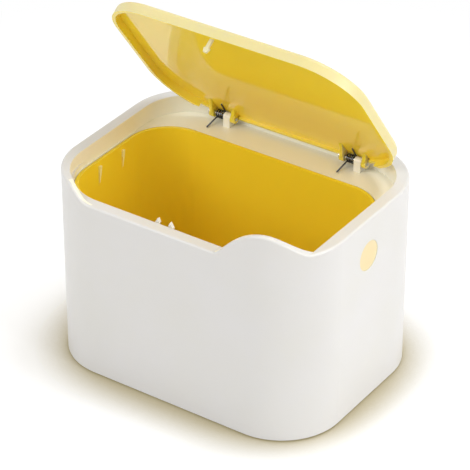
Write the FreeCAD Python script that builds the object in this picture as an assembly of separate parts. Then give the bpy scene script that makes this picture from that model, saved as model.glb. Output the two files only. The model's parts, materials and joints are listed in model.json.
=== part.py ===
import FreeCAD, Part
import math
import os

V = FreeCAD.Vector

# Desktop waste bin: a white sleeve stands over a yellow inner liner and carries a sprung yellow lid.
# Millimetres. +X is right, +Y is back, +Z is up. The origin is under the middle, on the table.
# The solids stand as photographed, with the lid open.

# Sleeve
body_width = 160.0
body_depth = 120.0
corner_radius = 34.0
rim_height = 108.0
front_rim_drop = 7.0
floor_gap = 1.0
wall = 2.4
rim_width = 6.5
rim_edge_radius = 1.2
ledge_drop = 10.0
ledge_thickness = 2.5
ledge_reach = 3.0
shelf_depth = 21.0
mouth_corner_inset = 12.0

# Front rim: a ramp at the left corner, a raised ear at the right corner, set in from the sides
ramp_foot_inset = 35.0
ramp_head_inset = 16.0
ear_foot_inset = 51.5
ear_top_inset = 24.5
ear_rise = 10.6
ramp_handle_share = 0.5
ear_foot_handle_share = 0.1
ear_top_handle_share = 0.5
ear_fall_handle_share = 0.4
ear_end_handle_shares = (0.22, 0.3)

# Round plugs in the sleeve's sides
side_hole_radius = 8.1
side_hole_y = -1.4
side_hole_drop = 21.0
plug_fit = 0.1
plug_inset = 0.2
plug_flange_reach = 1.5
plug_flange = 1.0
plug_ledge_gap = 0.3

# Lid
open_angle = 54.0
lid_thickness = 6.2
lid_panel = 2.2
lid_skirt = 2.0
lid_gap = 0.7
lid_rear_gap = 2.6
lid_front_corner_inset = 6.0
lid_rear_corner_outset = 3.0
lid_edge_radius = 2.0
rear_skirt_clear = 4.0
rear_lip = 1.6

# Hinges
hinge_inset = 40.1
hinge_setback = 5.2
hinge_rise = 5.2
pin_radius = 1.0
pin_head_radius = 1.7
pin_head = 0.6
pin_fit = 0.02
pin_run = 0.05
knuckle_radius = 2.2
knuckle_width = 4.0
lug_radius = 2.5
lug_width = 2.5
hinge_side_gap = 0.3

# Hinge springs
spring_wire = 0.8
spring_radius = 2.0
spring_pitch = 1.25
spring_turns = 3
fixed_leg_angle = 17.5
moving_leg = 9.0
spring_seat_gap = 0.05
spring_end_gap = 0.5

# Inner liner
liner_wall = 1.8
liner_fit = 0.4
liner_floor = 2.0
liner_lip = 1.6
liner_lip_height = 2.0
liner_base_radius = 7.0
grip_rib_spacing = 19.6
grip_rib_width = 1.5
grip_rib_proud = 1.4
grip_rib_length = 12.0
foot_radius = 6.0
foot_height = 1.2
foot_edge_radius = 0.4
foot_inset = 20.0

# Touch latch behind the front wall, left of the middle
latch_x = -6.0
latch_setback = 2.0
claw_length = 12.0
claw_width = 2.0
claw_depth = 1.8
claw_hook = 2.4
claw_hook_reach = 0.7
claw_spread = 6.0
claw_open_angle = 8.0
claw_tip_rise = 1.6
claw_pin_radius = 0.6
latch_travel = 2.0
latch_gap = 0.2
slider_plate = 1.0
slider_side = 1.6
slider_block = 7.0
slider_plate_drop = 3.4
housing_wall = 0.8
housing_side_gap = 1.7
housing_top_drop = 5.0
housing_ear = 6.0
housing_ear_depth = 2.0
housing_ear_lift = 8.0
latch_spring_wire = 0.4
latch_spring_radius = 1.35
latch_spring_pitch = 1.0
latch_spring_turns = 5
latch_notch_gap = 1.5
boss_radius = 2.6
screw_radius = 1.0
screw_head_radius = 1.9
screw_head = 1.2
screw_bite = 2.4
screw_fit = 0.02
liner_recess_gap = 0.5
liner_recess_side_gap = 1.5
liner_recess_drop = 2.5

# Striker under the lid
striker_width = 18.0
striker_plate = 1.2
striker_tail = 3.0
striker_skirt_gap = 0.2
striker_neck = 1.8
striker_head = 3.4
striker_head_height = 2.4
striker_blade = 1.4
striker_screw_inset = 3.0
striker_screw_radius = 0.8
striker_screw_head_radius = 1.5
striker_screw_head = 0.7
striker_screw_bite = 1.2
hook_gap = 0.4

# One overrun serves every cut
overrun = 5.0
gap_samples = 400

half_width = body_width / 2
half_depth = body_depth / 2
ramp_foot_x = half_width - ramp_foot_inset
ramp_head_x = half_width - ramp_head_inset
ear_foot_x = half_width - ear_foot_inset
ear_top_x = half_width - ear_top_inset
side_hole_height = rim_height - side_hole_drop
mouth_corner_radius = corner_radius - mouth_corner_inset
lid_front_radius = corner_radius - lid_front_corner_inset
lid_rear_radius = corner_radius + lid_rear_corner_outset
front_rim = rim_height - front_rim_drop
ledge_top = rim_height - ledge_drop
ledge_base = ledge_top - ledge_thickness
mouth_half_width = half_width - rim_width
mouth_front = -half_depth + rim_width
mouth_back = half_depth - rim_width
well_half_width = mouth_half_width - ledge_reach
well_front = mouth_front + ledge_reach
well_back = mouth_back - shelf_depth
wall_front = -half_depth + wall

lid_top = rim_height
lid_base = lid_top - lid_thickness
lid_under = lid_top - lid_panel
lid_half_width = mouth_half_width - lid_gap
lid_front = wall_front + lid_gap
lid_back = mouth_back - lid_rear_gap
hinge_y = mouth_back - hinge_setback
hinge_z = ledge_top + hinge_rise
hinge_point = V(0, hinge_y, hinge_z)

latch_y = mouth_front + latch_setback
claw_pivot_x = claw_spread / 2
claw_tip = front_rim + claw_tip_rise
claw_pivot_out = claw_tip - claw_length * math.cos(math.radians(claw_open_angle))
claw_pivot_in = claw_pivot_out - latch_travel
housing_half_width = claw_pivot_x + slider_side + latch_gap + housing_side_gap + housing_wall
housing_top = front_rim - housing_top_drop
slider_half_width = housing_half_width - housing_wall - latch_gap - slider_side / 2
claw_front = latch_y - claw_depth / 2
plate_front = latch_y + claw_depth / 2 + latch_gap
plate_back = plate_front + slider_plate
cavity_front = claw_front - latch_gap
cavity_back = plate_back + latch_gap
housing_front = cavity_front - housing_wall
housing_back = cavity_back + housing_wall
slider_plate_top = claw_pivot_out + claw_spread / 2
slider_block_top = claw_pivot_out - slider_plate_drop
slider_base = slider_block_top - slider_block
latch_spring_rise = latch_spring_pitch * latch_spring_turns + latch_spring_wire
housing_floor = slider_base - latch_spring_rise
housing_base = housing_floor - housing_wall
ear_x = housing_half_width + housing_ear / 2
ear_z = housing_base + housing_ear_lift
recess_half_width = housing_half_width + housing_ear + liner_recess_side_gap
recess_back = housing_back + liner_recess_gap
liner_base = foot_height


def block(x_low, x_high, y_low, y_high, z_low, z_high):
    return Part.makeBox(x_high - x_low, y_high - y_low, z_high - z_low, V(x_low, y_low, z_low))


def rod(radius, start, direction, length):
    return Part.makeCylinder(radius, length, start, direction)


def upright_edges(shape, wanted):
    """Upright straight edges whose place passes the test."""
    found = []
    for edge in shape.Edges:
        low, high = edge.BoundBox.ZMin, edge.BoundBox.ZMax
        if edge.BoundBox.XLength + edge.BoundBox.YLength < (high - low) / 1000:
            if wanted(edge.CenterOfMass):
                found.append(edge)
    return found


def rounded_block(x_low, x_high, y_low, y_high, z_low, z_high, front_radius, back_radius):
    """A block with rounded upright corners, front and back radii apart."""
    middle = (y_low + y_high) / 2
    shape = block(x_low, x_high, y_low, y_high, z_low, z_high)
    shape = shape.makeFillet(front_radius, upright_edges(shape, lambda place: place.y < middle))
    return shape.makeFillet(back_radius, upright_edges(shape, lambda place: place.y > middle))


def body_block(inset, z_low, z_high):
    """The body's own outline drawn in by an inset."""
    radius = corner_radius - inset
    return rounded_block(-half_width + inset, half_width - inset, -half_depth + inset, half_depth - inset,
                         z_low, z_high, radius, radius)


def well_block(grow, z_low, z_high):
    """The outline of the liner's inside, grown outwards."""
    radius = mouth_corner_radius + grow
    reach = well_half_width + grow
    return rounded_block(-reach, reach, well_front - grow, well_back + grow, z_low, z_high, radius, radius)


def sweep_edge(start, start_handle, end_handle, end):
    curve = Part.BezierCurve()
    curve.setPoles([start, start_handle, end_handle, end])
    return curve.toShape()


def front_rim_cutter():
    """Everything above the front rim: flat in the middle, a ramp at left, an ear at right."""
    y = -half_depth - overrun
    side = mouth_half_width
    ear_top = rim_height + ear_rise
    sky = ear_top + overrun
    edge_x = half_width + overrun
    ramp_handle = (ramp_head_x - ramp_foot_x) * ramp_handle_share
    climb = ear_top_x - ear_foot_x
    fall = side - ear_top_x
    end_handle = V(-fall * ear_end_handle_shares[0], 0, ear_rise * ear_end_handle_shares[1])
    left_high, left_low = V(-ramp_head_x, y, rim_height), V(-ramp_foot_x, y, front_rim)
    ear_foot, ear_peak = V(ear_foot_x, y, front_rim), V(ear_top_x, y, ear_top)
    right_high = V(side, y, rim_height)
    edges = [
        Part.makeLine(V(-edge_x, y, sky), V(-edge_x, y, rim_height)),
        Part.makeLine(V(-edge_x, y, rim_height), left_high),
        sweep_edge(left_high, left_high + V(ramp_handle, 0, 0), left_low - V(ramp_handle, 0, 0), left_low),
        Part.makeLine(left_low, ear_foot),
        sweep_edge(ear_foot, ear_foot + V(climb * ear_foot_handle_share, 0, 0),
                   ear_peak - V(climb * ear_top_handle_share, 0, 0), ear_peak),
        sweep_edge(ear_peak, ear_peak + V(fall * ear_fall_handle_share, 0, 0), right_high + end_handle,
                   right_high),
        Part.makeLine(right_high, V(edge_x, y, rim_height)),
        Part.makeLine(V(edge_x, y, rim_height), V(edge_x, y, sky)),
        Part.makeLine(V(edge_x, y, sky), V(-edge_x, y, sky)),
    ]
    face = Part.Face(Part.Wire(edges))
    reach = corner_radius + overrun
    return face.extrude(V(0, reach, 0))


def lid_outline(grow, z_low, z_high):
    """The lid's outline as it lies closed, grown outwards."""
    return rounded_block(-lid_half_width - grow, lid_half_width + grow, lid_front - grow, lid_back + grow,
                         z_low, z_high, lid_front_radius + grow, lid_rear_radius + grow)


coil_length = spring_pitch * (spring_turns + (90 - fixed_leg_angle + 90 - open_angle) / 360)
coil_room = coil_length + spring_wire + 2 * spring_end_gap
knuckle_offset = coil_room / 2
lug_offsets = {
    "a": knuckle_offset - coil_room - hinge_side_gap - lug_width,
    "b": knuckle_offset + knuckle_width + hinge_side_gap,
}


def hinge_places():
    """The middle of each coil, with the whole hinge set in evenly from both sides."""
    hinge_middle = (lug_offsets["a"] + lug_offsets["b"] + lug_width) / 2
    reach = half_width - hinge_inset
    return {"left": -reach - hinge_middle, "right": reach - hinge_middle}


def outline_depth(place):
    """How far inside the body's outline a place lies, seen from above."""
    past_x = abs(place.x) - (half_width - corner_radius)
    past_y = abs(place.y) - (half_depth - corner_radius)
    if past_x > 0 and past_y > 0:
        return corner_radius - math.hypot(past_x, past_y)
    return min(half_width - abs(place.x), half_depth - abs(place.y))


def outer_rim_edges(shell):
    """The loop of edges round the outside of the rim."""
    found = []
    for edge in shell.Edges:
        first, last = edge.FirstParameter, edge.LastParameter
        places = [edge.valueAt(first), edge.valueAt((first + last) / 2), edge.valueAt(last)]
        high = min(place.z for place in places) > ledge_base
        if high and max(outline_depth(place) for place in places) < wall / 100:
            found.append(edge)
    return found


def make_outer_shell():
    top = rim_height + ear_rise + overrun
    shell = body_block(0, floor_gap, top)
    shell = shell.cut(body_block(wall, floor_gap - overrun, ledge_base))
    shell = shell.cut(body_block(rim_width, ledge_top, top + overrun))
    shell = shell.cut(well_block(liner_wall + liner_fit, ledge_base - overrun, ledge_top + overrun))
    shell = shell.cut(front_rim_cutter())
    shell = shell.cut(block(-half_width - overrun, half_width + overrun, -half_depth + corner_radius,
                            half_depth + overrun, rim_height, top + overrun))
    shell = shell.cut(lid_outline(lid_gap, front_rim, top + overrun)).removeSplitter()
    shell = shell.makeFillet(rim_edge_radius, outer_rim_edges(shell))
    ear_back = -half_depth + corner_radius
    ear_corner = block(ear_foot_x, mouth_half_width, -half_depth, ear_back, front_rim, top)
    shell = shell.cut(ear_corner.common(body_block(wall, front_rim, top)))
    shell = shell.cut(rod(side_hole_radius, V(-half_width - overrun, side_hole_y, side_hole_height),
                          V(1, 0, 0), body_width + 2 * overrun))
    for centre in hinge_places().values():
        low = centre + knuckle_offset
        tower = block(low, low + knuckle_width, hinge_y - knuckle_radius, hinge_y + knuckle_radius,
                      ledge_top - ledge_thickness / 2, hinge_z)
        tower = tower.fuse(rod(knuckle_radius, V(low, hinge_y, hinge_z), V(1, 0, 0), knuckle_width))
        tower = tower.cut(rod(pin_radius + pin_fit, V(low - overrun, hinge_y, hinge_z), V(1, 0, 0),
                              knuckle_width + 2 * overrun))
        shell = shell.fuse(tower)
    notch = housing_half_width + latch_notch_gap
    shell = shell.cut(at_latch(block(-notch, notch, mouth_front, well_front + overrun, ledge_base - overrun,
                                     ledge_top + overrun)))
    for side in (-1, 1):
        start = V(side * ear_x, wall_front - wall / 2, ear_z)
        boss = rod(boss_radius, start, V(0, 1, 0), housing_front - start.y)
        bite = V(side * ear_x, housing_front - screw_bite, ear_z)
        boss = boss.cut(rod(screw_radius + screw_fit, bite, V(0, 1, 0), screw_bite + overrun))
        shell = shell.fuse(at_latch(boss))
    return shell.removeSplitter()


def at_latch(shape):
    """Move a piece drawn about the middle over to the latch."""
    moved = shape.copy()
    moved.translate(V(latch_x, 0, 0))
    return moved


def opened(shape):
    """Turn a piece of the closed lid up to its open place."""
    turned = shape.copy()
    turned.rotate(hinge_point, V(1, 0, 0), -open_angle)
    return turned


def make_side_plug(side):
    """A round plug snapped into a side wall from inside, its face just short of flush."""
    seat = half_width - wall
    way = V(side, 0, 0)
    middle = V(side * seat, side_hole_y, side_hole_height)
    flange = rod(side_hole_radius + plug_flange_reach, middle - way * plug_flange, way, plug_flange)
    ceiling = ledge_base - plug_ledge_gap
    flange = flange.cut(block(-half_width, half_width, -half_depth, half_depth, ceiling, rim_height))
    face = rod(side_hole_radius - plug_fit, middle, way, wall - plug_inset)
    return flange.fuse(face).removeSplitter()


def make_lid():
    lid = lid_outline(0, lid_base, lid_top)
    lid = lid.makeFillet(lid_edge_radius, [e for e in lid.Edges if e.BoundBox.ZMin > lid_under])
    lid = lid.cut(lid_outline(-lid_skirt, lid_base - overrun, lid_under))
    rear = hinge_y - rear_skirt_clear
    lid = lid.cut(block(-half_width, half_width, rear, half_depth, lid_base - overrun, lid_under - rear_lip))
    for centre in hinge_places().values():
        gap_low = centre + lug_offsets["a"] - pin_head - 2 * hinge_side_gap
        gap_high = centre + lug_offsets["b"] + lug_width + 2 * hinge_side_gap
        lid = lid.cut(block(gap_low, gap_high, rear, half_depth, lid_base - overrun, lid_under))
        for offset in lug_offsets.values():
            low = centre + offset
            lug = rod(lug_radius, V(low, hinge_y, hinge_z), V(1, 0, 0), lug_width)
            lug = lug.fuse(block(low, low + lug_width, hinge_y - lug_radius, hinge_y + lug_radius,
                                 hinge_z, lid_under + lid_panel / 2))
            lug = lug.cut(rod(pin_radius + pin_run, V(low - overrun, hinge_y, hinge_z), V(1, 0, 0),
                              lug_width + 2 * overrun))
            lid = lid.fuse(lug)
    for side in (-1, 1):
        place = striker_screw_place(side)
        hole = V(place.x, place.y, lid_under)
        lid = lid.cut(at_latch(rod(striker_screw_radius + screw_fit, hole, V(0, 0, 1), striker_screw_bite)))
    return opened(lid.removeSplitter())


def make_hinge_pin(centre):
    low = centre + lug_offsets["a"] - hinge_side_gap
    high = centre + lug_offsets["b"] + lug_width + hinge_side_gap
    pin = rod(pin_radius, V(low, hinge_y, hinge_z), V(1, 0, 0), high - low)
    head = rod(pin_head_radius, V(low - pin_head, hinge_y, hinge_z), V(1, 0, 0), pin_head)
    return pin.fuse(head).removeSplitter()


def arc_from(start, direction, end):
    """The arc that leaves a point along a direction and ends at another point."""
    chord = end - start
    along = V(chord).normalize()
    across = direction - along * direction.dot(along)
    half_turn = math.atan2(across.Length, direction.dot(along))
    middle = start + chord * 0.5 + across.normalize() * (chord.Length / 2 * math.tan(half_turn / 2))
    return Part.Arc(start, middle, end).toShape()


def biarc(start, start_way, end, end_way):
    """Two arcs that join two points and keep the way the wire runs at both."""
    gap = end - start
    ways = start_way + end_way
    turn = 1 - start_way.dot(end_way)
    pull = gap.dot(ways)
    reach = (math.sqrt(pull * pull + 2 * turn * gap.dot(gap)) - pull) / (2 * turn)
    joint = (start + end + (start_way - end_way) * reach) * 0.5
    joint_way = (joint - start - start_way * reach).normalize()
    return [arc_from(start, start_way, joint), arc_from(joint, joint_way, end)]


def coil_edges(point_at, way_at, start_turn, end_turn):
    """A coil's centre line, one biarc to each quarter turn or less."""
    count = math.ceil((end_turn - start_turn) * 4)
    step = (end_turn - start_turn) / count
    edges = []
    for index in range(count):
        low = start_turn + index * step
        high = low + step
        edges += biarc(point_at(low), way_at(low), point_at(high), way_at(high))
    return edges


def least_gap(path, radius, turn_length):
    """The least space between a wire and itself, measured on points along its centre line."""
    points = path.discretize(Number=gap_samples)
    step = path.Length / (len(points) - 1)
    apart = int(turn_length / 2 / step)
    count = len(points)
    least = min((points[i] - points[j]).Length for i in range(count) for j in range(i + apart, count))
    return least - 2 * radius


def wire_tube(name, edges, wire, turn_length):
    path = Part.Wire(edges)
    first = path.OrderedEdges[0]
    start = first.valueAt(first.FirstParameter)
    way = first.tangentAt(first.FirstParameter)
    profile = Part.Wire(Part.Circle(start, way, wire / 2).toShape())
    shell = Part.BRepOffsetAPI.MakePipeShell(path)
    shell.add(profile)
    shell.build()
    shell.makeSolid()
    tube = shell.shape()
    print(name, "least gap to itself", round(least_gap(path, wire / 2, turn_length), 3))
    print(name, "volume over section times length", tube.Volume / (math.pi * (wire / 2) ** 2 * path.Length))
    return tube


def make_hinge_spring(name, centre):
    """A torsion spring on the hinge pin: one leg on the shelf, one along the lid."""
    start_x = centre + knuckle_offset - coil_room + spring_end_gap + spring_wire / 2
    circle = 2 * math.pi * spring_radius
    tilt = math.hypot(circle, spring_pitch)
    start_turn = (fixed_leg_angle - 90) / 360
    end_turn = spring_turns + (90 - open_angle) / 360

    def point_at(turn):
        angle = 2 * math.pi * turn
        return V(start_x + spring_pitch * (turn - start_turn), hinge_y + spring_radius * math.cos(angle),
                 hinge_z + spring_radius * math.sin(angle))

    def way_at(turn):
        angle = 2 * math.pi * turn
        return V(spring_pitch, -circle * math.sin(angle), circle * math.cos(angle)) * (1 / tilt)

    leave, leave_way = point_at(start_turn), way_at(start_turn)
    seat = ledge_top + spring_wire / 2 + spring_seat_gap
    fixed_leg = (leave.z - seat) / leave_way.z
    lift, lift_way = point_at(end_turn), way_at(end_turn)
    edges = [Part.makeLine(leave - leave_way * fixed_leg, leave)]
    edges += coil_edges(point_at, way_at, start_turn, end_turn)
    edges.append(Part.makeLine(lift, lift + lift_way * moving_leg))
    return wire_tube(name, edges, spring_wire, circle)


def make_inner_liner():
    liner = well_block(liner_wall, liner_base, ledge_top)
    floor_top = liner_base + liner_floor
    liner = liner.makeFillet(liner_base_radius, [e for e in liner.Edges if e.BoundBox.ZMax < floor_top])
    lip = well_block(liner_wall + liner_lip, ledge_base - liner_lip_height, ledge_base)
    liner = liner.fuse(lip)
    inside = well_block(0, floor_top, ledge_top + overrun)
    inner_radius = liner_base_radius - liner_wall
    inside = inside.makeFillet(inner_radius, [e for e in inside.Edges if e.BoundBox.ZMax < ledge_base / 2])
    recess_base = housing_base - liner_recess_gap
    recess_reach = recess_half_width + liner_wall
    recess_wall = block(-recess_reach, recess_reach, well_front - liner_wall, recess_back + liner_wall,
                        recess_base - liner_wall, ledge_base - liner_recess_drop)
    liner = liner.cut(inside.cut(at_latch(recess_wall)))
    pocket = block(-recess_half_width, recess_half_width, -half_depth, recess_back, recess_base,
                   ledge_top + overrun)
    liner = liner.cut(at_latch(pocket))
    well_middle = (well_front + well_back) / 2
    for side in (-1, 1):
        for share in (-0.5, 0.5):
            y = well_middle + share * grip_rib_spacing
            foot = V(side * well_half_width, y - grip_rib_width / 2, ledge_base - grip_rib_length)
            head = foot + V(0, 0, grip_rib_length)
            proud = V(-side * grip_rib_proud, 0, 0)
            sunk = V(side * liner_wall / 2, 0, 0)
            corners = [foot + sunk, foot, head + proud, head + sunk, foot + sunk]
            rib = Part.Face(Part.makePolygon(corners)).extrude(V(0, grip_rib_width, 0))
            liner = liner.fuse(rib)
    return liner.removeSplitter()


def make_foot(side, end):
    y = (well_front + foot_inset) if end == "front" else (well_back - foot_inset)
    foot = rod(foot_radius, V(side * (well_half_width - foot_inset), y, 0), V(0, 0, 1), foot_height)
    return foot.makeFillet(foot_edge_radius, [e for e in foot.Edges if e.BoundBox.ZMax < foot_height / 2])


def make_latch_housing():
    reach = housing_half_width
    inside = housing_half_width - housing_wall
    cavity = block(-inside, inside, cavity_front, cavity_back, housing_floor, housing_top + overrun)
    housing = block(-reach, reach, housing_front, housing_back, housing_base, housing_top).cut(cavity)
    for side in (-1, 1):
        ear = rod(housing_ear / 2, V(side * ear_x, housing_front, ear_z), V(0, 1, 0), housing_ear_depth)
        inner = housing_half_width - housing_wall / 2
        near, far = sorted((side * inner, side * ear_x))
        ear = ear.fuse(block(near, far, housing_front, housing_front + housing_ear_depth,
                             ear_z - housing_ear / 2, ear_z + housing_ear / 2))
        hole = V(side * ear_x, housing_front - overrun, ear_z)
        ear = ear.cut(rod(screw_radius + screw_fit, hole, V(0, 1, 0), housing_ear_depth + 2 * overrun))
        housing = housing.fuse(ear.cut(cavity))
    return at_latch(housing.removeSplitter())


def make_latch_screw(side):
    seat = V(side * ear_x, housing_front + housing_ear_depth, ear_z)
    shank = rod(screw_radius, seat, V(0, -1, 0), housing_ear_depth + screw_bite)
    return at_latch(shank.fuse(rod(screw_head_radius, seat, V(0, 1, 0), screw_head)).removeSplitter())


def make_latch_slider():
    reach = slider_half_width
    plate = block(-reach, reach, plate_front, plate_back, slider_base, slider_plate_top)
    slider = plate.fuse(block(-reach, reach, claw_front, plate_back, slider_base, slider_block_top))
    for side in (-1, 1):
        hole = V(side * claw_pivot_x, plate_front - overrun, claw_pivot_out)
        slider = slider.cut(rod(claw_pin_radius + pin_fit, hole, V(0, 1, 0), slider_plate + 2 * overrun))
    return at_latch(slider.removeSplitter())


def make_claw(side):
    """A jaw with a sharp inward hook, spread open on its pivot."""
    inner = -claw_width / 2
    outer = claw_width / 2
    hook_base = claw_length - claw_hook
    outline = [(inner, 0), (inner, hook_base), (inner - claw_hook_reach, hook_base), (inner, claw_length),
               (outer, hook_base), (outer, 0), (inner, 0)]
    points = [V(side * (claw_pivot_x + x), claw_front, claw_pivot_out + z) for x, z in outline]
    claw = Part.Face(Part.makePolygon(points)).extrude(V(0, claw_depth, 0))
    pivot = V(side * claw_pivot_x, claw_front, claw_pivot_out)
    claw = claw.fuse(rod(claw_width / 2, pivot, V(0, 1, 0), claw_depth))
    hole = pivot - V(0, overrun, 0)
    claw = claw.cut(rod(claw_pin_radius + pin_run, hole, V(0, 1, 0), claw_depth + 2 * overrun))
    claw = claw.removeSplitter()
    claw.rotate(pivot, V(0, 1, 0), side * claw_open_angle)
    return at_latch(claw)


def make_claw_pin(side):
    return at_latch(rod(claw_pin_radius, V(side * claw_pivot_x, claw_front, claw_pivot_out), V(0, 1, 0),
                        plate_back - claw_front))


def make_latch_spring():
    """A small compression spring between the housing's floor and the slider."""
    middle_y = (claw_front + plate_back) / 2
    circle = 2 * math.pi * latch_spring_radius
    tilt = math.hypot(circle, latch_spring_pitch)
    base = housing_floor + latch_spring_wire / 2

    def point_at(turn):
        angle = 2 * math.pi * turn
        return V(latch_spring_radius * math.cos(angle), middle_y + latch_spring_radius * math.sin(angle),
                 base + latch_spring_pitch * turn)

    def way_at(turn):
        angle = 2 * math.pi * turn
        return V(-circle * math.sin(angle), circle * math.cos(angle), latch_spring_pitch) * (1 / tilt)

    edges = coil_edges(point_at, way_at, 0, latch_spring_turns)
    return at_latch(wire_tube("latch_spring", edges, latch_spring_wire, circle))


def striker_screw_place(side):
    return V(side * (striker_width / 2 - striker_screw_inset), latch_y, lid_under - striker_plate)


def make_striker():
    head_top = claw_pivot_in + claw_length - claw_hook - hook_gap
    head_base = head_top - striker_head_height
    plate_base = lid_under - striker_plate
    plate_edge = lid_front + lid_skirt + striker_skirt_gap
    plate_tail = latch_y + striker_tail
    plate = block(-striker_width / 2, striker_width / 2, plate_edge, plate_tail, plate_base, lid_under)
    low_y = latch_y - striker_blade / 2
    outline = [(striker_neck / 2, plate_base), (striker_neck / 2, head_top), (striker_head / 2, head_top),
               (striker_neck / 2, head_base)]
    right = [V(x, low_y, z) for x, z in outline]
    left = [V(-x, low_y, z) for x, z in reversed(outline)]
    blade = Part.Face(Part.makePolygon(right + left + right[:1])).extrude(V(0, striker_blade, 0))
    striker = plate.fuse(blade)
    for side in (-1, 1):
        place = striker_screw_place(side)
        striker = striker.cut(rod(striker_screw_radius + screw_fit, place - V(0, 0, overrun), V(0, 0, 1),
                                  striker_plate + 2 * overrun))
    return opened(at_latch(striker.removeSplitter()))


def make_striker_screw(side):
    place = striker_screw_place(side)
    shank = rod(striker_screw_radius, place, V(0, 0, 1), striker_plate + striker_screw_bite)
    head = rod(striker_screw_head_radius, place, V(0, 0, -1), striker_screw_head)
    return opened(at_latch(shank.fuse(head).removeSplitter()))


pieces = {
    "inner_liner": make_inner_liner(),
    "outer_shell": make_outer_shell(),
    "lid": make_lid(),
    "latch_housing": make_latch_housing(),
    "latch_slider": make_latch_slider(),
    "latch_spring": make_latch_spring(),
    "lid_striker": make_striker(),
}
for name, centre in hinge_places().items():
    pieces["hinge_pin_" + name] = make_hinge_pin(centre)
    pieces["hinge_spring_" + name] = make_hinge_spring("hinge_spring_" + name, centre)
for name, side in (("left", -1), ("right", 1)):
    pieces["side_plug_" + name] = make_side_plug(side)
    pieces["latch_claw_" + name] = make_claw(side)
    pieces["claw_pin_" + name] = make_claw_pin(side)
    pieces["latch_screw_" + name] = make_latch_screw(side)
    pieces["striker_screw_" + name] = make_striker_screw(side)
    for end in ("front", "back"):
        pieces["foot_" + end + "_" + name] = make_foot(side, end)

os.makedirs("parts", exist_ok=True)
for name, shape in pieces.items():
    print(name, len(shape.Solids), "solid", round(shape.Volume, 1), "valid", shape.isValid())
    shape.exportStep("parts/" + name + ".step")
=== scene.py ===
import json
import math

import bmesh
import bpy
from mathutils import Matrix, Vector


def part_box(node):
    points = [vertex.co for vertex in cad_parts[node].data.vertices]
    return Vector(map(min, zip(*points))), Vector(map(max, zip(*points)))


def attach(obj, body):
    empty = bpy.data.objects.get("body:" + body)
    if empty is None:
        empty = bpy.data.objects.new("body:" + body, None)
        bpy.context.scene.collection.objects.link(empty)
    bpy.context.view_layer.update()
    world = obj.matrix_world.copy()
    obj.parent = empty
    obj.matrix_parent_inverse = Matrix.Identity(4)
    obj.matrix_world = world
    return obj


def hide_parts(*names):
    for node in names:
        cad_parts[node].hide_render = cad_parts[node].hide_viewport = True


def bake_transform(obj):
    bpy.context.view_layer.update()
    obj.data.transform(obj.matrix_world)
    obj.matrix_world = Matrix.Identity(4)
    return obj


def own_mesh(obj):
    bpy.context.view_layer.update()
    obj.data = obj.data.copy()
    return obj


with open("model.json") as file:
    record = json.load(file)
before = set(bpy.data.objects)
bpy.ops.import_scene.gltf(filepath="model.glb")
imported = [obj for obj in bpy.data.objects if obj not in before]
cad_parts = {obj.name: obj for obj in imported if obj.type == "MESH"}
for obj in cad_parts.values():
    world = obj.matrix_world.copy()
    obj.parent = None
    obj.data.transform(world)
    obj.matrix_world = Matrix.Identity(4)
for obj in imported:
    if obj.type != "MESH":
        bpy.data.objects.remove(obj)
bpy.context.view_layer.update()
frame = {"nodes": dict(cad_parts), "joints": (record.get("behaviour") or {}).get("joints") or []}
nodes = frame["nodes"]

# Inner liner
# A one-piece tub moulded in yellow polypropylene, with two slim grip ribs on each end wall.
# It stands on the table and the sleeve drops over it. Its outside is painted paler than its inside: painted
# light.
LINER_INSIDE = (0.985, 0.733, 0.034, 1.0)
LINER_OUTSIDE_PAINTED_LIGHT = (0.945, 0.840, 0.460, 1.0)
LINER_HEART = (0, 0, 0.3)
SLOW_SET = (0.965, 0.965, 0.9)
SHEEN_SPREAD = 0.15
SKIN_EDGE = 0.0008


def mix_colours(tree, factor, first, second):
    """A colour that goes from the first to the second as the factor goes from 0 to 1."""
    blend = tree.nodes.new("ShaderNodeMix")
    blend.data_type = "RGBA"
    tree.links.new(factor, blend.inputs["Factor"])
    for socket, colour in (("A", first), ("B", second)):
        if isinstance(colour, tuple):
            blend.inputs[socket].default_value = colour
        else:
            tree.links.new(colour, blend.inputs[socket])
    return blend.outputs["Result"]


def calculate(tree, operation, *values):
    """One sum on values of the surface and constants."""
    node = tree.nodes.new("ShaderNodeMath")
    node.operation = operation
    for socket, value in zip(node.inputs, values):
        if isinstance(value, float):
            socket.default_value = value
        else:
            tree.links.new(value, socket)
    return node.outputs["Value"]


def slide(tree, value, start, end, low=0.0, high=1.0):
    """A number that goes from start to end as the value goes from low to high."""
    node = tree.nodes.new("ShaderNodeMapRange")
    for socket, number in (("From Min", low), ("From Max", high), ("To Min", start), ("To Max", end)):
        node.inputs[socket].default_value = number
    tree.links.new(value, node.inputs["Value"])
    return node.outputs["Result"]


def spots(tree, place, scale, detail):
    """Soft spots, from 0 to 1, that stay where they are on the piece."""
    noise = tree.nodes.new("ShaderNodeTexNoise")
    noise.inputs["Scale"].default_value = scale
    noise.inputs["Detail"].default_value = detail
    tree.links.new(place, noise.inputs["Vector"])
    return noise.outputs["Fac"]


def deepen(colour):
    """The slightly deeper tone that the same plastic has where it set more slowly."""
    return tuple(part * share for part, share in zip(colour, SLOW_SET)) + (1.0,)


def outer_skin(tree, place, heart):
    """1 on faces that look away from a point in the heart of a piece, 0 on faces that look towards it."""
    out = tree.nodes.new("ShaderNodeVectorMath")
    out.operation = "SUBTRACT"
    tree.links.new(place.outputs["Object"], out.inputs[0])
    out.inputs[1].default_value = heart
    facing = tree.nodes.new("ShaderNodeVectorMath")
    facing.operation = "DOT_PRODUCT"
    tree.links.new(out.outputs["Vector"], facing.inputs[0])
    tree.links.new(place.outputs["Normal"], facing.inputs[1])
    return slide(tree, facing.outputs["Value"], 0.0, 1.0, -SKIN_EDGE, SKIN_EDGE)


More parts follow.
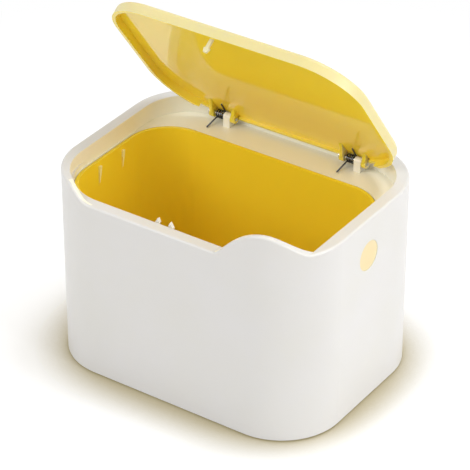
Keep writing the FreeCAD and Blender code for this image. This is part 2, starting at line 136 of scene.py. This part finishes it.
def moulded_plastic(name, colour, roughness, inside=None, heart=None, polish=1.0, mottle=26.0, grain=2600.0,
                    grain_depth=0.000006):
    """Moulded plastic: a slow drift in colour, an uneven sheen and the fine grain of the tool."""
    material = bpy.data.materials.new(name)
    material.use_nodes = True
    tree = material.node_tree
    link = tree.links.new
    shader = tree.nodes["Principled BSDF"]
    place = tree.nodes.new("ShaderNodeTexCoord")
    drift = spots(tree, place.outputs["Object"], mottle, detail=3.0)
    tint = mix_colours(tree, drift, colour, deepen(colour))
    dullness = slide(tree, drift, roughness * (1 - SHEEN_SPREAD), roughness * (1 + SHEEN_SPREAD))
    # Inside and outside faces can take two colours; the liner, sleeve and lid use this to paint light on
    # one side.
    if inside:
        skin = outer_skin(tree, place, heart)
        inner_tint = mix_colours(tree, drift, inside, deepen(inside))
        tint = mix_colours(tree, skin, inner_tint, tint)
        dullness = calculate(tree, "MULTIPLY", dullness, slide(tree, skin, polish, 1.0))
    link(tint, shader.inputs["Base Color"])
    link(dullness, shader.inputs["Roughness"])
    bump = tree.nodes.new("ShaderNodeBump")
    bump.inputs["Strength"].default_value = 1.0
    bump.inputs["Distance"].default_value = grain_depth
    link(spots(tree, place.outputs["Object"], grain, detail=1.0), bump.inputs["Height"])
    link(bump.outputs["Normal"], shader.inputs["Normal"])
    return material, shader


def let_light_in(shader, weight, radius, scale):
    """Let light scatter a little way under the surface of a plastic."""
    shader.inputs["Subsurface Weight"].default_value = weight
    shader.inputs["Subsurface Radius"].default_value = radius
    shader.inputs["Subsurface Scale"].default_value = scale


def dress(material, *names):
    """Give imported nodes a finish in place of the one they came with."""
    for name in names:
        nodes[name].data.materials.clear()
        nodes[name].data.materials.append(material)


# The paler outside colour is painted light, so the outer faces look more brightly lit than they are.
liner_plastic, liner_shader = moulded_plastic("liner_plastic", LINER_OUTSIDE_PAINTED_LIGHT, roughness=0.34,
                                              inside=LINER_INSIDE, heart=LINER_HEART)
let_light_in(liner_shader, weight=0.25, radius=(1.0, 0.75, 0.3), scale=0.0025)
dress(liner_plastic, "inner_liner")

# Grip ribs
# Two slim ribs on each end wall of the liner, in the same moulding, that hold a bag by its edge.
# A pale highlight is painted along their crests, widest at the head and narrowing to nothing at the foot.
RIB_HIGHLIGHT = (1.0, 0.935, 0.500, 1.0)
RIB_ROWS_MIDDLE = -0.0090
RIB_ROW_REACH = 0.0098
HIGHLIGHT_HALF_WIDTH = 0.0011
RIB_FOOT_HEIGHT = 0.0825
RIB_HEAD_HEIGHT = 0.0958
RIB_WALL = 0.0703
tree = liner_plastic.node_tree
place = tree.nodes.new("ShaderNodeTexCoord")
axes = tree.nodes.new("ShaderNodeSeparateXYZ")
tree.links.new(place.outputs["Object"], axes.inputs["Vector"])
from_rows = calculate(tree, "ABSOLUTE", calculate(tree, "SUBTRACT", axes.outputs["Y"], RIB_ROWS_MIDDLE))
from_rib = calculate(tree, "ABSOLUTE", calculate(tree, "SUBTRACT", from_rows, RIB_ROW_REACH))
# Painted highlight: a pale stripe on each rib crest, tapering from the head down to the foot.
highlight_taper = slide(tree, axes.outputs["Z"], 0.0, 1.0, RIB_FOOT_HEIGHT, RIB_HEAD_HEIGHT)
on_row = calculate(tree, "LESS_THAN", from_rib, calculate(tree, "MULTIPLY", highlight_taper, HIGHLIGHT_HALF_WIDTH))
off_wall = calculate(tree, "LESS_THAN", calculate(tree, "ABSOLUTE", axes.outputs["X"]), RIB_WALL)
on_rib = calculate(tree, "MULTIPLY", on_row, off_wall)
liner_tint = liner_shader.inputs["Base Color"].links[0].from_socket
rib_highlight_tint = mix_colours(tree, on_rib, liner_tint, RIB_HIGHLIGHT)
tree.links.new(rib_highlight_tint, liner_shader.inputs["Base Color"])

# Feet
# Four soft rubber discs stuck under the liner's floor, matt and dark.
FOOT_BLACK = (0.055, 0.055, 0.053, 1.0)
foot_rubber, _ = moulded_plastic("foot_rubber", FOOT_BLACK, roughness=0.8, mottle=300.0, grain=5000.0,
                                 grain_depth=0.00002)
dress(foot_rubber, "foot_front_left", "foot_front_right", "foot_back_left", "foot_back_right")

# Outer sleeve
# An open-bottomed shell moulded in white ABS, satin outside, with a rounded rim.
# It carries the lid's hinges on the shelf at the back and the latch behind the front wall.
SHELL_OUTSIDE = (0.757, 0.740, 0.735, 1.0)
# Painted light: the inside faces are a brighter cream, standing in for warm light bounced off the yellow
# liner.
SHELL_INSIDE_PAINTED_BOUNCE = (0.975, 0.940, 0.830, 1.0)
SHELL_HEART = (0, 0, 0.0995)
shell_plastic, shell_shader = moulded_plastic("shell_plastic", SHELL_OUTSIDE, roughness=0.30,
                                              inside=SHELL_INSIDE_PAINTED_BOUNCE, heart=SHELL_HEART)
let_light_in(shell_shader, weight=0.2, radius=(1.0, 0.9, 0.75), scale=0.002)
dress(shell_plastic, "outer_shell")

# Side plugs
# A round plug of pale yellow plastic, snapped into a hole in each side wall from inside, nearly flush.
PLUG_YELLOW = (0.875, 0.715, 0.410, 1.0)
plug_plastic, plug_shader = moulded_plastic("plug_plastic", PLUG_YELLOW, roughness=0.35, mottle=90.0)
let_light_in(plug_shader, weight=0.3, radius=(1.0, 0.8, 0.4), scale=0.002)
dress(plug_plastic, "side_plug_left", "side_plug_right")

# Touch latch
# A small white housing screwed to bosses behind the front wall, with a slider and two claws on steel pins.
# The claws stand open and grip the lid's striker when it is pressed down. A coil spring lifts the slider.
LATCH_WHITE = (0.86, 0.85, 0.83, 1.0)
PIN_GREY = (0.62, 0.62, 0.63, 1.0)
SCREW_GREY = (0.60, 0.59, 0.57, 1.0)
SPRING_BLACK = (0.075, 0.077, 0.088, 1.0)
LINE_SCALE = 2200.0
LINE_TONE = 0.8
LINE_SPREAD = 0.3
ALONG_THE_BAR = (0.15, 1.0, 1.0)
latch_plastic, _ = moulded_plastic("latch_plastic", LATCH_WHITE, roughness=0.4)
dress(latch_plastic, "latch_housing", "latch_slider", "latch_claw_left", "latch_claw_right")


def drawn_steel(name, colour, roughness, streak=(1.0, 1.0, 1.0)):
    """Steel wire or bar: fine drawing lines and a little unevenness in its shine."""
    material = bpy.data.materials.new(name)
    material.use_nodes = True
    tree = material.node_tree
    link = tree.links.new
    shader = tree.nodes["Principled BSDF"]
    shader.inputs["Metallic"].default_value = 1.0
    place = tree.nodes.new("ShaderNodeTexCoord")
    stretch = tree.nodes.new("ShaderNodeMapping")
    stretch.inputs["Scale"].default_value = streak
    link(place.outputs["Object"], stretch.inputs["Vector"])
    lines = spots(tree, stretch.outputs["Vector"], LINE_SCALE, detail=2.0)
    line_colour = tuple(part * LINE_TONE for part in colour[:3]) + (1.0,)
    link(mix_colours(tree, lines, colour, line_colour), shader.inputs["Base Color"])
    shine = slide(tree, lines, roughness * (1 - LINE_SPREAD), roughness * (1 + LINE_SPREAD))
    link(shine, shader.inputs["Roughness"])
    return material


pin_steel = drawn_steel("pin_steel", PIN_GREY, roughness=0.25, streak=ALONG_THE_BAR)
dress(pin_steel, "claw_pin_left", "claw_pin_right", "hinge_pin_left", "hinge_pin_right")
screw_steel = drawn_steel("screw_steel", SCREW_GREY, roughness=0.3)
dress(screw_steel, "latch_screw_left", "latch_screw_right", "striker_screw_left", "striker_screw_right")
spring_steel = drawn_steel("spring_steel", SPRING_BLACK, roughness=0.3)

WIRE_SIDES = 14
STEPS_A_TURN = 40
LATCH_WIRE = 0.0004
LATCH_TURNS = 5


def moved_verts(geometry):
    """The corners among the geometry that an operator made."""
    return [item for item in geometry if isinstance(item, bmesh.types.BMVert)]


def wind(bm, start, tangent, wire, centre, axis, rise, turns):
    """Wind a round wire from a start point about an axis, and give back its first and last ring."""
    facing = Vector((0, 0, 1)).rotation_difference(Vector(tangent)).to_matrix().to_4x4()
    ring = bmesh.ops.create_circle(bm, cap_ends=False, segments=WIRE_SIDES, radius=wire / 2,
                                   matrix=Matrix.Translation(start) @ facing)
    first = list(bm.edges)
    steps = math.ceil(abs(turns) * STEPS_A_TURN)
    wound = bmesh.ops.spin(bm, geom=ring["verts"] + first, cent=centre, axis=axis,
                           dvec=Vector(axis) * rise / steps, angle=turns * math.tau, steps=steps,
                           use_merge=False, use_normal_flip=False, use_duplicate=False)
    last = [item for item in wound["geom_last"] if isinstance(item, bmesh.types.BMEdge)]
    return first, last


def draw_leg(bm, ring, reach):
    """Draw the wire straight on from a ring of edges, and give back the new ring."""
    drawn = bmesh.ops.extrude_edge_only(bm, edges=ring)["geom"]
    bmesh.ops.translate(bm, verts=moved_verts(drawn), vec=reach)
    return [item for item in drawn if isinstance(item, bmesh.types.BMEdge) and item.is_boundary]


def put_in_scene(name, data):
    """Put new data in the scene as an object at the origin."""
    thing = bpy.data.objects.new(name, data)
    bpy.context.scene.collection.objects.link(thing)
    return thing


def make_piece(bm, name, material):
    """Turn a finished bmesh into a piece with its material."""
    mesh = bpy.data.meshes.new(name)
    bm.to_mesh(mesh)
    bm.free()
    mesh.materials.append(material)
    piece = put_in_scene(name, mesh)
    return piece


def finish_wire(bm, name, ends):
    """Close the wire's cut ends and make it a piece of spring steel."""
    for end in ends:
        bmesh.ops.contextual_create(bm, geom=end)
    bmesh.ops.recalc_face_normals(bm, faces=bm.faces)
    for face in bm.faces:
        face.smooth = len(face.verts) == 4
    return make_piece(bm, name, spring_steel)


latch_low, latch_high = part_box("latch_spring")
latch_middle = (latch_low + latch_high) / 2
latch_radius = (latch_high.y - latch_low.y - LATCH_WIRE) / 2
latch_rise = latch_high.z - latch_low.z - LATCH_WIRE
latch_start = Vector((latch_middle.x + latch_radius, latch_middle.y, latch_low.z + LATCH_WIRE / 2))
latch_way = (0, math.tau * latch_radius, latch_rise / LATCH_TURNS)
latch_coil = bmesh.new()
coil_ends = wind(latch_coil, latch_start, latch_way, LATCH_WIRE, latch_middle, (0, 0, 1), latch_rise,
                 LATCH_TURNS)
latch_wire = finish_wire(latch_coil, "latch_spring_wire", coil_ends)
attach(latch_wire, "sleeve")
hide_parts("latch_spring")
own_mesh(latch_wire)

# Hinge springs
# A torsion spring of hard steel wire sits on each hinge pin beside the sleeve's knuckle.
# One leg presses on the shelf, the other lies along the lid's underside and flips it open.
OPEN_ANGLE = math.radians(54.0)
SHELF_LEG_ANGLE = math.radians(17.5)
SPRING_WIRE = 0.0008
SPRING_RADIUS = 0.002
SPRING_PITCH = 0.00125
SPRING_TURNS = 3.0
LID_LEG = 0.009
SHELF_TOP = 0.098
SHELF_GAP = 0.00005
hinge = Vector(next(joint["pos_m"] for joint in frame["joints"] if joint["name"] == "lid_hinge"))


def wire_way(turn):
    """The way that the wire runs after a number of turns."""
    angle = turn * math.tau
    ring = math.tau * SPRING_RADIUS
    return Vector((SPRING_PITCH, -ring * math.sin(angle), ring * math.cos(angle))).normalized()


start_turn = (SHELF_LEG_ANGLE - math.pi / 2) / math.tau
end_turn = SPRING_TURNS + (math.pi / 2 - OPEN_ANGLE) / math.tau
wound_turns = end_turn - start_turn
start_way = wire_way(start_turn)
leave_y = hinge.y + SPRING_RADIUS * math.cos(start_turn * math.tau)
leave_z = hinge.z + SPRING_RADIUS * math.sin(start_turn * math.tau)
shelf_leg = (leave_z - SHELF_TOP - SPRING_WIRE / 2 - SHELF_GAP) / start_way.z
for side in ("left", "right"):
    low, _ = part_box("hinge_spring_" + side)
    start_x = low.x + shelf_leg * start_way.x + SPRING_WIRE / 2 * math.hypot(*start_way.yz)
    coil = bmesh.new()
    first, last = wind(coil, Vector((start_x, leave_y, leave_z)), start_way, SPRING_WIRE, hinge, (1, 0, 0),
                       SPRING_PITCH * wound_turns, wound_turns)
    shelf_end = draw_leg(coil, first, start_way * -shelf_leg)
    lid_end = draw_leg(coil, last, wire_way(end_turn) * LID_LEG)
    spring = finish_wire(coil, "hinge_spring_wire_" + side, (shelf_end, lid_end))
    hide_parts("hinge_spring_" + side)
    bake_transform(spring)

# Lid
# A shallow tray moulded in yellow ABS, glossy underneath and satin outside, with lugs for the hinge pins.
# A pale striker is screwed under its front edge for the latch.
LID_UNDERSIDE = (0.995, 0.735, 0.068, 1.0)
# Painted light: the outer faces are painted paler, standing in for the strong light that falls on them.
LID_OUTSIDE_PAINTED_LIGHT = (0.805, 0.705, 0.365, 1.0)
STRIKER_CREAM = (0.93, 0.87, 0.58, 1.0)
HEART_BELOW_LID = 0.02
lid_low, lid_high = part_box("lid")
underside_way = Vector((0, -math.sin(OPEN_ANGLE), -math.cos(OPEN_ANGLE)))
lid_heart = (lid_low + lid_high) / 2 + underside_way * HEART_BELOW_LID
lid_plastic, lid_shader = moulded_plastic("lid_plastic", LID_OUTSIDE_PAINTED_LIGHT, roughness=0.40, inside=LID_UNDERSIDE,
                                          heart=lid_heart, polish=0.15, grain_depth=0.000001)
let_light_in(lid_shader, weight=0.5, radius=(1.0, 0.8, 0.3), scale=0.0045)
dress(lid_plastic, "lid")
striker_plastic, _ = moulded_plastic("striker_plastic", STRIKER_CREAM, roughness=0.3)
dress(striker_plastic, "lid_striker")

# Lug gussets
# A small triangular gusset, part of the lid's moulding, stiffens each hinge lug against the underside.
# It is tangent to the lug and runs out along the panel, further on the side of the coil.
GUSSET_WIDTH = 0.002
GUSSET_EDGE = 0.0003
COIL_SIDE_REACH = 0.010
KNUCKLE_SIDE_REACH = 0.006
LUG_WIDTH = 0.0025
PIN_HEAD_SIDE = 0.0009
PIN_TAIL_SIDE = 0.0003
PANEL_HEIGHT = 0.0029
GUSSET_FOOT = Vector((0, -0.0012, -0.0022))
GUSSET_HEEL = Vector((0, -0.0013, PANEL_HEIGHT))
gusset_inset = (LUG_WIDTH - GUSSET_WIDTH) / 2
for side in ("left", "right"):
    low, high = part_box("hinge_pin_" + side)
    for beside, lug_x, reach in (("coil", low.x + PIN_HEAD_SIDE, COIL_SIDE_REACH),
                                 ("knuckle", high.x - PIN_TAIL_SIDE - LUG_WIDTH, KNUCKLE_SIDE_REACH)):
        gusset = bmesh.new()
        corners = (GUSSET_FOOT, Vector((0, -reach, PANEL_HEIGHT)), GUSSET_HEEL)
        flank = gusset.faces.new([gusset.verts.new(corner) for corner in corners])
        drawn = bmesh.ops.extrude_face_region(gusset, geom=[flank])["geom"]
        bmesh.ops.translate(gusset, verts=moved_verts(drawn), vec=(GUSSET_WIDTH, 0, 0))
        bmesh.ops.bevel(gusset, geom=gusset.edges, offset=GUSSET_EDGE, affect="EDGES", segments=3,
                        profile=0.5, material=-1)
        bmesh.ops.transform(gusset, verts=gusset.verts, matrix=Matrix.Rotation(-OPEN_ANGLE, 4, "X"))
        bmesh.ops.translate(gusset, verts=gusset.verts, vec=(lug_x + gusset_inset, hinge.y, hinge.z))
        bmesh.ops.recalc_face_normals(gusset, faces=gusset.faces)
        for face in gusset.faces:
            face.smooth = True
        gusset_piece = make_piece(gusset, "lug_gusset_" + side + "_" + beside, lid_plastic)
        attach(gusset_piece, "lid")

# Floor and light
# A seamless white table: it is white where it is lit and far away, with a warm shadow painted under the
# bin.
# Three soft boxes and a white room light it.
TABLE_HALF = 6.0
TABLE_WHITE = (0.80, 0.80, 0.80, 1.0)
TABLE_SEEN = (0.80, 0.86, 0.97, 1.0)
TABLE_SHADED = (0.42, 0.37, 0.25, 1.0)
GLOW_SEEN = (0.34, 0.28, 0.17, 1.0)
GLOW_SHADED = (0.11, 0.09, 0.04, 1.0)
BLACK = (0.0, 0.0, 0.0, 1.0)
WHITE = (1.0, 1.0, 1.0, 1.0)
SHADE_REACH = 0.035
DEEP_SHADE = 0.45
FADE_START = 0.12
FADE_END = 0.40
ROOM_LEVEL = 0.5
ROOM_SEEN = 1.0


def ray_seen(tree):
    """1 where the camera sees a surface directly, in a mirror or through glass."""
    path = tree.nodes.new("ShaderNodeLightPath")
    seen = path.outputs["Is Camera Ray"]
    for kind in ("Is Glossy Ray", "Is Transmission Ray"):
        seen = calculate(tree, "MAXIMUM", seen, path.outputs[kind])
    return seen


table = bmesh.new()
bmesh.ops.create_grid(table, x_segments=1, y_segments=1, size=TABLE_HALF)
table_mesh = bpy.data.meshes.new("table")
table.to_mesh(table_mesh)
table.free()
floor = put_in_scene("table", table_mesh)
floor_finish = bpy.data.materials.new("table_white")
floor_finish.use_nodes = True
tree = floor_finish.node_tree
tree.nodes.clear()
# Painted shadow: the more sheltered a spot near the bin, the more of the warm shaded colour and glow it
# gets.
shelter = tree.nodes.new("ShaderNodeAmbientOcclusion")
shelter.inputs["Distance"].default_value = SHADE_REACH
open_sky = slide(tree, shelter.outputs["AO"], 0.0, 1.0, DEEP_SHADE, 1.0)
open_sky.node.interpolation_type = "SMOOTHSTEP"
place = tree.nodes.new("ShaderNodeTexCoord")
distance = tree.nodes.new("ShaderNodeVectorMath")
distance.operation = "LENGTH"
tree.links.new(place.outputs["Object"], distance.inputs[0])
far_off = slide(tree, distance.outputs["Value"], 0.0, 1.0, FADE_START, FADE_END)
table_seen = mix_colours(tree, far_off, mix_colours(tree, open_sky, TABLE_SHADED, TABLE_SEEN), BLACK)
glow_seen = mix_colours(tree, far_off, mix_colours(tree, open_sky, GLOW_SHADED, GLOW_SEEN), WHITE)
seen = ray_seen(tree)
matt = tree.nodes.new("ShaderNodeBsdfDiffuse")
tree.links.new(mix_colours(tree, seen, TABLE_WHITE, table_seen), matt.inputs["Color"])
glow = tree.nodes.new("ShaderNodeEmission")
tree.links.new(glow_seen, glow.inputs["Color"])
tree.links.new(seen, glow.inputs["Strength"])
both = tree.nodes.new("ShaderNodeAddShader")
tree.links.new(matt.outputs["BSDF"], both.inputs[0])
tree.links.new(glow.outputs["Emission"], both.inputs[1])
out = tree.nodes.new("ShaderNodeOutputMaterial")
tree.links.new(both.outputs["Shader"], out.inputs["Surface"])
table_mesh.materials.append(floor_finish)

world = bpy.data.worlds.new("studio")
bpy.context.scene.world = world
world.use_nodes = True
room = world.node_tree
backdrop = room.nodes["Background"]
backdrop.inputs["Color"].default_value = WHITE
room.links.new(slide(room, ray_seen(room), ROOM_LEVEL, ROOM_SEEN), backdrop.inputs["Strength"])


def soft_box(name, place, aim, width, power):
    """A square soft box at a place, turned to its aim."""
    lamp = bpy.data.lights.new(name, "AREA")
    lamp.size = width
    lamp.energy = power
    box = put_in_scene(name, lamp)
    box.location = place
    box.rotation_euler = (Vector(aim) - Vector(place)).to_track_quat("-Z", "Y").to_euler()


soft_box("window_right", place=(1.25, 0.1, 0.6), aim=(0, 0, 0.05), width=0.8, power=8.6)
soft_box("ceiling_back", place=(0.3, 0.45, 1.5), aim=(0, 0, 0.05), width=0.5, power=6.0)
soft_box("fill_left", place=(-0.45, -1.1, 0.95), aim=(0, 0, 0.08), width=0.9, power=8.0)

# Camera
# A long lens from the front right, a little above the bin, as the photograph was taken.
AZIMUTH = math.radians(34.423)
ELEVATION = math.radians(32.516)
DISTANCE = 1.3
FOCAL_PIXELS = 2573.9
FRAME_PIXELS = 470
AIM_RIGHT = 0.00013
AIM_HEIGHT = 0.06923
lens = bpy.data.cameras.new("camera")
lens.sensor_width = 36.0
lens.lens = FOCAL_PIXELS / FRAME_PIXELS * lens.sensor_width
lens.clip_start = 0.01
camera = put_in_scene("camera", lens)
back = Vector((math.sin(AZIMUTH) * math.cos(ELEVATION), -math.cos(AZIMUTH) * math.cos(ELEVATION),
               math.sin(ELEVATION)))
right = Vector((math.cos(AZIMUTH), math.sin(AZIMUTH), 0))
camera.location = right * AIM_RIGHT + Vector((0, 0, AIM_HEIGHT)) + back * DISTANCE
camera.rotation_euler = (math.pi / 2 - ELEVATION, 0, AZIMUTH)
bpy.context.scene.camera = camera
bpy.context.scene.view_settings.view_transform = "Standard"
